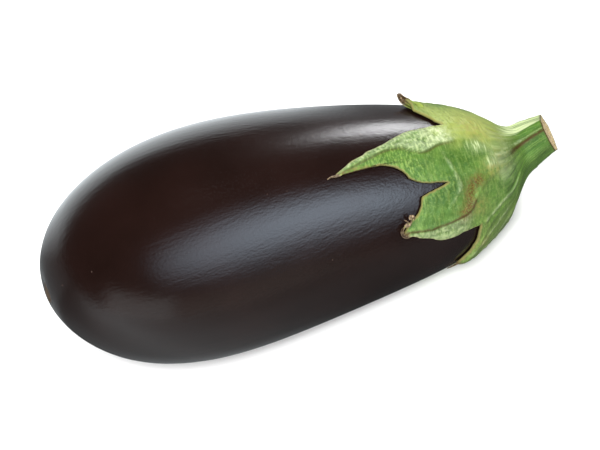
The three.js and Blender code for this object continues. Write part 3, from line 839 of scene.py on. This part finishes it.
# How far the grain has run from the fruit's stalk end, on up the stalk too, and the turn about the core.
STALK_RUN = 22
stem_run = foot_reach - np.linspace(0, STALK_RUN, len(fillet) + len(stalk) + 1)[1:, None]
on_foot = np.radians(foot_turn)
for name, wave in (("grain_up", np.cos), ("grain_side", np.sin)):
    keep(name, core=wave(on_foot), under=wave(np.radians(under_turn)), cap=wave(np.radians(turn)),
         stem=wave(on_foot), cut=wave(on_foot))
keep("grain_run", under=under_reach, cap=reach, stem=stem_run, cut=stem_run[-1:], strips=60)
keep("from_rim", cap=from_rim, stem=20, cut=20, strips=20)
keep("from_tip", cap=from_tip, stem=30, cut=30, strips=30)
keep("cut_face", cut=1)
keep("under_side", core=1, under=1)
keep("dry_strip", strips=dried)
# Painted shade in the strips' hollows.
keep("painted_slit_shade", strips=painted_slit_shade)
keep("strip_shade", strips=strip_shade)
keep("wrinkled", cap=crinkled, strips=0.6)
keep("deepened", cap=patches["deep"], fillet=0.3, stalk=0.5)
# The swellings carry a painted highlight.
keep("swelling_and_painted_highlight", cap=swelling_and_painted_highlight)
keep("crest", cap=np.clip(0.5 + 0.5 * wrinkle, 0, 1), stem=0.5)

# How far up the stalk, and on its ridges: a pale facet at the top with a dark ridge below, then a rugged
# brown ridge with a pale line over it.
up_stalk = np.vstack([up_fillet[:, None] * fillet_top, stalk_parts])
from_pale, from_brown = (off_ridge(STALK_RIDGES[index], up_stalk) for index in (PALE_RIDGE, BROWN_RIDGE))
facet = step(from_pale, 1, 5) * step(62 - from_pale, 0, 12) * step(up_stalk, 0.08, 0.3)
dark_stalk = bell(from_brown, 5) * step(up_stalk, 0.14, 0.26)
# A pale line over the brown ridge, and, low on the front, painted light in the hollow at the foot.
pale_stalk_and_painted_light = np.maximum(0.4 * bell(from_brown - 8, 3) * step(up_stalk, 0.1, 0.4),
                        0.25 * step(0.4 - up_stalk, 0, 0.3) * bell(foot_turn + 5, 30))
# Pale on the dried folds, the third lobe's lower side and the side ridges, with a painted highlight on the
# shoulder crease and the fold's middle, and painted light in the hollow at the stalk's foot.
pale_cap_and_painted_light = np.max([
    folded * (0.45 + 0.45 * patches["pale fold and painted highlight"]), 0.34 * lower_third, 0.35 * shoulder, 0.45 * side_ridge,
    0.4 * patches["painted light foot"],
], axis=0)
yellow_cap = 0.9 * np.maximum(top_side, 0.15 * step(-turn, 52, 75)) * (1 - 0.8 * patches["green"])
yellow_foot = step(foot_turn, -20, 10) * step(TOP_TURN - foot_turn, 0, 16)
keep("on_stalk", fillet=step(up_fillet, 0, 1)[:, None], stalk=1)
keep("yellowed", cap=yellow_cap, fillet=0.5 * yellow_foot * (1 - up_fillet[:, None]), strips=0.7)
# Pale tissue, together with the painted highlights and painted light.
keep("pale_and_painted_light", cap=pale_cap_and_painted_light, stem=pale_stalk_and_painted_light)
keep("pale_facet", stem=facet)
keep("browned", cap=bell(from_band, 2.6))
keep("tanned", cap=patches["tan"])
# Brown along the third lobe's midrib, painted shade along the fold's crease, and on the stalk its dark ridge
# and the brown rim of the cut.
keep("brown_line", cap=np.maximum(bell(from_brown_midrib, 0.45), 0.6 * fold_crease),
     stem=np.maximum(dark_stalk, step(up_stalk, 0.95, 0.99)))

# Leathery green calyx: leaf and stalk tissue, waxy, finely wrinkled across its fibres and ribbed along
# them, in greens that change from wrinkle to wrinkle, with painted shade in the grooves. It has faded
# pale on folds and crests, and dried to tan and brown along the rims, the midribs and the thin strips
# at its tips. It carries painted highlights on its swellings, shoulder crease and fold, painted light in
# the hollow at the stalk's foot, and painted shade in the fold's crease and the strips' hollows.
leather = bpy.data.materials.new("leathery_green_calyx")
leather.use_nodes = True
tree = leather.node_tree
shader = tree.nodes["Principled BSDF"]
# Millimetres along the fibres and round the stalk, and then metres any way.
GRAIN_PATTERNS = {"crinkle": (1.0, 1.7), "stria": (0.8, 6), "strand": (20, 2.4)}
PATTERNS = {"mottle": 6 * MM, "patch": 1.5 * MM, "fleck": 0.65 * MM}

# Its values, by name: what the mesh keeps, and then the patterns.
value = {item.name: add(tree, "ShaderNodeAttribute", attribute_name=item.name).outputs["Fac"]
         for item in calyx_mesh.attributes if item.data_type == "FLOAT"}
# A place in the grain: its run, and its turn about the core as a place on a circle.
grain_turn = add(tree, "ShaderNodeCombineXYZ", [0, value["grain_up"], value["grain_side"]])
grain_place = add(tree, "ShaderNodeVectorMath", [
    grain_turn, [GRAIN_RADIUS] * 3, add(tree, "ShaderNodeCombineXYZ", [value["grain_run"]]),
], operation="MULTIPLY_ADD")
for name, (along, around) in GRAIN_PATTERNS.items():
    stretched = add(tree, "ShaderNodeVectorMath", [grain_place, (1 / along, 1 / around, 1 / around)],
                    operation="MULTIPLY")
    value[name] = add(tree, "ShaderNodeTexNoise", {"Vector": stretched, "Scale": 1.0, "Detail": 3.0})
place = add(tree, "ShaderNodeTexCoord").outputs["Object"]
for name, across in PATTERNS.items():
    value[name] = add(tree, "ShaderNodeTexNoise", {"Vector": place, "Scale": 1 / across, "Detail": 3.0})
for name, operation, *terms in (
    ("on cap", "SUBTRACT", 1, "on_stalk"),
    ("rim wave", "MULTIPLY_ADD", "patch", -1.6, "from_rim"),
    ("tip wave", "MULTIPLY_ADD", "patch", -4, "from_tip"),
    ("deep crinkle", "MULTIPLY", "crinkle", "wrinkled"),
    ("stalk strand", "MULTIPLY", "strand", "on_stalk"),
):
    inputs = [value.get(term, term) for term in terms]
    value[name] = add(tree, "ShaderNodeMath", inputs, operation=operation)

# Ranges of them: of which value, where it starts and is full, and what it is there if not 0 and 1.
for name, source, *ends in (
    ("mottling", "mottle", 0.35, 0.65),
    ("crests", "crinkle", 0.48, 0.64),
    # Where the crinkles' grooves get painted shade.
    ("painted groove shade", "crinkle", 0.46, 0.32),
    ("pale crinkle", "crinkle", 0.48, 0.64, 0.15, 0.75),
    ("half crest", "crest", 0.35, 0.95, 0, 0.5),
    ("crinkle share", "wrinkled", 0, 1, 0.14, 0.6),
    ("groove share", "wrinkled", 0, 1, 0.2, 0.65),
    ("streaks", "stria", 0.5, 0.66),
    ("painted glint", "stria", 0.5, 0.628, 0.2, 1),
    ("light strands", "strand", 0.5, 0.66),
    ("dark strands", "strand", 0.46, 0.3),
    ("facet strands", "strand", 0.36, 0.54),
    ("yellow patches", "patch", -0.4, 0.4),
    ("tan patches", "patch", 0.3, 0.9),
    ("brown patches", "patch", 0.3, 0.7),
    ("line patches", "patch", 0.2, 0.42),
    ("gloss", "patch", 0, 1, 0.36, 0.52),
    ("light flecks", "fleck", 0.55, 0.72),
    ("brown flecks", "fleck", 0.46, 0.56),
    ("dry flecks", "fleck", 0.45, 0.62),
    ("shade flecks", "fleck", 0.66, 0.42),
    ("cut flecks", "fleck", 0.54, 0.62),
    ("dry rim", "rim wave", -0.1, -0.6),
    ("dry tip", "tip wave", 0.6, -1.2),
):
    value[name] = add(tree, "ShaderNodeMapRange", [value[source], *ends])
value["pale crests"] = add(tree, "ShaderNodeMath", [value["half crest"], value["pale crinkle"]],
                           operation="ADD", use_clamp=True)

# The greens, and then each layer from the flesh up: its colour, and what its share is the product of.
colour = add(tree, "ShaderNodeMix", {
    "Factor_Float": value["mottling"], "A_Color": srgb("#3f5e24"), "B_Color": srgb("#51732e"),
}, data_type="RGBA")
for tone, first, *others in (
    ("#2e4d14", "deepened", 0.75),
    ("#8f9b49", "yellowed", "yellow patches"),
    ("#869f52", "crests", "on cap", "crinkle share"),
    ("#a3b264", "streaks", "on cap", 0.14),
    # Painted shade in the grooves of the crinkles.
    ("#33491a", "painted groove shade", "groove share"),
    ("#7c984a", "light strands", "on_stalk", 0.3),
    ("#2f4a17", "dark strands", "on_stalk", 0.45),
    ("#9fb068", "light flecks", 0.22),
    ("#94884a", "tanned", "tan patches"),
    ("#6a5c28", "browned", "brown patches"),
    ("#513f17", "browned", "brown flecks"),
    ("#7d7346", "dry rim", 0.75),
    # Pale tissue, with painted highlights and painted light.
    ("#c6d0a6", "pale_and_painted_light", "pale crests"),
    ("#bcc995", "pale_facet", "facet strands"),
    # A painted highlight, in streaks, on the swellings.
    ("#b9c895", "swelling_and_painted_highlight", "painted glint"),
    ("#7d8a58", "under_side", 0.8),
    # Brown lines, and painted shade in the fold's crease.
    ("#402f15", "brown_line", "line patches"),
    ("#5c5032", "dry tip"),
    ("#6f5d49", "dry_strip"),
    ("#a08c70", "dry_strip", "dry flecks"),
    ("#3d2c17", "strip_shade", "shade flecks"),
    # Painted shade in the strips' hollows.
    ("#241a0c", "painted_slit_shade"),
    ("#c4ab78", "cut_face"),
    ("#d6c69c", "cut_face", "crests"),
    ("#5c4426", "cut_face", "cut flecks"),
):
    share = value[first]
    for factor in others:
        share = add(tree, "ShaderNodeMath", [share, value.get(factor, factor)], operation="MULTIPLY")
    colour = add(tree, "ShaderNodeMix", {
        "Factor_Float": share, "A_Color": colour, "B_Color": srgb(tone),
    }, data_type="RGBA")

# Each layer of bumps lies on the one before.
bumped = None
for name, depth in (("stria", 0.07 * MM), ("crinkle", 0.07 * MM), ("deep crinkle", 0.34 * MM),
                    ("stalk strand", 0.4 * MM), ("fleck", 0.05 * MM)):
    inputs = {"Height": value[name], "Distance": depth, "Strength": 1.0}
    bumped = add(tree, "ShaderNodeBump", {**inputs, "Normal": bumped} if bumped else inputs)
shader.inputs["IOR"].default_value = 1.38
feed(tree, shader, {"Base Color": colour, "Roughness": value["gloss"], "Normal": bumped})
calyx_mesh.materials.append(leather)
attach(calyx, "root")
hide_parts("calyx_and_stalk")

# ---- Camera, table and light -----------------------------------------------------------------
# A white laminate table in a dark studio, lit from above by soft lights before and behind. The gloss
# reflects a window low behind the object, a soft box and a low card before it, a card at its left and
# a graded felt sheet about it.
TARGET = Vector((-0.004285, -0.002825, 0.040998))
CAMERA_AZIMUTH = math.radians(-18.96)
CAMERA_ELEVATION = math.radians(62)
CAMERA_DISTANCE = 0.7546


def towards(azimuth, elevation):
    """The direction from the object at that azimuth and elevation."""
    flat = math.cos(elevation)
    return Vector((math.sin(azimuth) * flat, -math.cos(azimuth) * flat, math.sin(elevation)))


def facing(name, data, way, distance):
    """A camera or a light that way off the object at that distance, turned to face it."""
    thing = bpy.data.objects.new(name, data)
    bpy.context.scene.collection.objects.link(thing)
    thing.location = TARGET + way * distance
    thing.rotation_mode = "QUATERNION"
    thing.rotation_quaternion = (-way).to_track_quat("-Z", "Y")
    return thing


def flat_sheet(name, half_length, half_width, height, material):
    """A level rectangle about its own middle, at that height."""
    corners = [(x * half_length, y * half_width, height) for x, y in ((-1, -1), (1, -1), (1, 1), (-1, 1))]
    mesh = bpy.data.meshes.new(name)
    mesh.from_pydata(corners, [], [(0, 1, 2, 3)])
    mesh.materials.append(material)
    made = bpy.data.objects.new(name, mesh)
    bpy.context.scene.collection.objects.link(made)
    return made


camera = facing("camera", bpy.data.cameras.new("camera"), towards(CAMERA_AZIMUTH, CAMERA_ELEVATION),
                CAMERA_DISTANCE)
camera.data.lens = 120
camera.data.sensor_width = 36
bpy.context.scene.camera = camera

TABLE_HALF = 4
laminate = bpy.data.materials.new("white_matt_laminate")
laminate.use_nodes = True
laminate_shader = laminate.node_tree.nodes["Principled BSDF"]
laminate_shader.inputs["Base Color"].default_value = srgb("#eeeeee")
laminate_shader.inputs["Roughness"].default_value = 0.9
laminate_shader.inputs["Specular IOR Level"].default_value = 0.1
table = flat_sheet("table", TABLE_HALF, TABLE_HALF, 0, laminate)

# name, azimuth, elevation, distance, width, height, power in watts, colour, shows in reflections
LIGHTS = [
    ("window", 143, 13.5, 0.9, 0.18, 0.23, 2.2, "#fbfdff", True),
    ("fill", -28, 63.5, 1.4, 0.32, 0.32, 30, "#ffffff", False),
    ("sky", 150, 66, 1.4, 0.6, 0.6, 16, "#ffffff", False),
    ("left_card", -38, 4, 0.9, 0.70, 0.50, 1.3, "#ffffff", True),
    ("low_card", 8, 3, 0.9, 0.70, 0.46, 0.5, "#fff6ee", True),
]
for name, azimuth, elevation, distance, width, height, power, colour, reflected in LIGHTS:
    lamp = bpy.data.lights.new(name, "AREA")
    lamp.shape = "RECTANGLE"
    lamp.size = width
    lamp.size_y = height
    lamp.energy = power
    lamp.color = srgb(colour)[:3]
    light = facing(name, lamp, towards(math.radians(azimuth), math.radians(elevation)), distance)
    light.visible_glossy = reflected

# The soft box glows most along its middle and towards its right end, where it stops short.
BOX_AZIMUTH = math.radians(25)
BOX_ELEVATION = math.radians(50)
BOX_DISTANCE = 0.9
BOX_ROLL = math.radians(-17)
BOX_LENGTH = 1.9
BOX_WIDTH = 1.1
BOX_GLOW = 8.0
GLOW_WIDTH = 0.29
GLOW_LEFT = -0.85
GLOW_FULL = 0.4
GLOW_STOP = (0.44, 0.54)
GLOW_RISE = 0.01
cloth = bpy.data.materials.new("soft_box_cloth")
cloth.use_nodes = True
tree = cloth.node_tree
tree.nodes.clear()
on_cloth = add(tree, "ShaderNodeSeparateXYZ", [add(tree, "ShaderNodeTexCoord").outputs["Object"]]).outputs
rise, stop = (add(tree, "ShaderNodeMapRange", {"Value": on_cloth["X"], "From Min": start, "From Max": full})
              for start, full in ((GLOW_LEFT, GLOW_FULL), (GLOW_STOP[1], GLOW_STOP[0])))
value = {"y": on_cloth["Y"], "rise": rise, "stop": stop}
for name, operation, *terms in (
    ("off", "SUBTRACT", "y", GLOW_RISE),
    ("off part", "DIVIDE", "off", GLOW_WIDTH),
    ("off squared", "MULTIPLY", "off part", "off part"),
    ("off fall", "SUBTRACT", 0, "off squared"),
    ("middle", "EXPONENT", "off fall"),
    ("middle glow", "MULTIPLY", "middle", BOX_GLOW),
    ("length", "MULTIPLY", "rise", "stop"),
    ("glow", "MULTIPLY", "length", "middle glow"),
):
    inputs = [value.get(term, term) for term in terms]
    value[name] = add(tree, "ShaderNodeMath", inputs, operation=operation)
shining = add(tree, "ShaderNodeEmission", {"Color": srgb("#d8ecff"), "Strength": value["glow"]})
add(tree, "ShaderNodeOutputMaterial", [shining])
soft_box = flat_sheet("soft_box", BOX_LENGTH / 2, BOX_WIDTH / 2, 0, cloth)
way = towards(BOX_AZIMUTH, BOX_ELEVATION)
soft_box.location = TARGET + way * BOX_DISTANCE
soft_box.rotation_mode = "QUATERNION"
soft_box.rotation_quaternion = way.to_track_quat("Z", "Y") @ Quaternion((0, 0, 1), BOX_ROLL)
soft_box.visible_camera = False
soft_box.visible_diffuse = False
soft_box.visible_shadow = False

# A felt sheet on the table, graded from dark to white about the object, darkens only what its gloss
# reflects, as a painted reflection: the camera and the soft light see the white table through it.
FELT_HEIGHT = 0.5 * MM
FELT_RADIUS = 1.2
# azimuth in degrees, then how much light the felt sends back there
FELT_SHADES = [(-180, 1.0), (-130, 1.0), (-112, 0.18), (-85, 0.22), (-66, 0.55), (-50, 0.62), (-34, 0.42),
               (-10, 0.26), (5, 0.19), (25, 0.13), (150, 0.15), (165, 0.8), (180, 1.0)]
# In front and near the object the felt is darker still: painted shade under the fruit's belly, seen only in
# the gloss.
FELT_NEAR = (50 * MM, 130 * MM)
FELT_NEAR_SHADE = 0.4
FELT_TINT = (0.9, 0.97, 1.0)
felt = bpy.data.materials.new("graded_felt")
felt.use_nodes = True
tree = felt.node_tree
on_felt = add(tree, "ShaderNodeTexCoord").outputs["Object"]
felt_place = add(tree, "ShaderNodeMapping", {"Vector": on_felt, "Rotation": (0, 0, math.pi / 2)})
about = add(tree, "ShaderNodeTexGradient", [felt_place], gradient_type="RADIAL")
shades = add(tree, "ShaderNodeValToRGB", [about.outputs["Fac"]])
ramp = shades.color_ramp.elements
ramp[1].position = 1.0
for azimuth, shade in FELT_SHADES:
    if abs(azimuth) == 180:
        element = ramp[0 if azimuth < 0 else -1]
    else:
        element = ramp.new((azimuth + 180) / 360)
    element.color = (*[part * shade for part in FELT_TINT], 1.0)
felt_shader = tree.nodes["Principled BSDF"]
to_side = add(tree, "ShaderNodeSeparateXYZ", [on_felt]).outputs["Y"]
near_shade = add(tree, "ShaderNodeMapRange", {
    "Value": to_side, "From Min": -FELT_NEAR[0], "From Max": -FELT_NEAR[1], "To Min": FELT_NEAR_SHADE,
})
behind = add(tree, "ShaderNodeMath", [to_side, 0.0], operation="GREATER_THAN")
shaded = add(tree, "ShaderNodeVectorMath", {
    "Vector": shades, "Scale": add(tree, "ShaderNodeMath", [near_shade, behind], operation="MAXIMUM"),
}, operation="SCALE")
feed(tree, felt_shader, {"Base Color": shaded})
felt_shader.inputs["Roughness"].default_value = 1.0
felt_shader.inputs["Specular IOR Level"].default_value = 0.0
sheet = flat_sheet("felt_sheet", FELT_RADIUS, FELT_RADIUS, FELT_HEIGHT, felt)
sheet.visible_camera = False
sheet.visible_diffuse = False
sheet.visible_shadow = False

studio = bpy.data.worlds.new("dim_studio")
studio.use_nodes = True
tree = studio.node_tree
seen = add(tree, "ShaderNodeLightPath").outputs["Is Camera Ray"]
feed(tree, tree.nodes["Background"], {
    "Color": srgb("#ffffff"), "Strength": add(tree, "ShaderNodeMapRange", {"Value": seen, "To Min": 0.03}),
})
bpy.context.scene.world = studio
bpy.context.scene.view_settings.view_transform = "Standard"
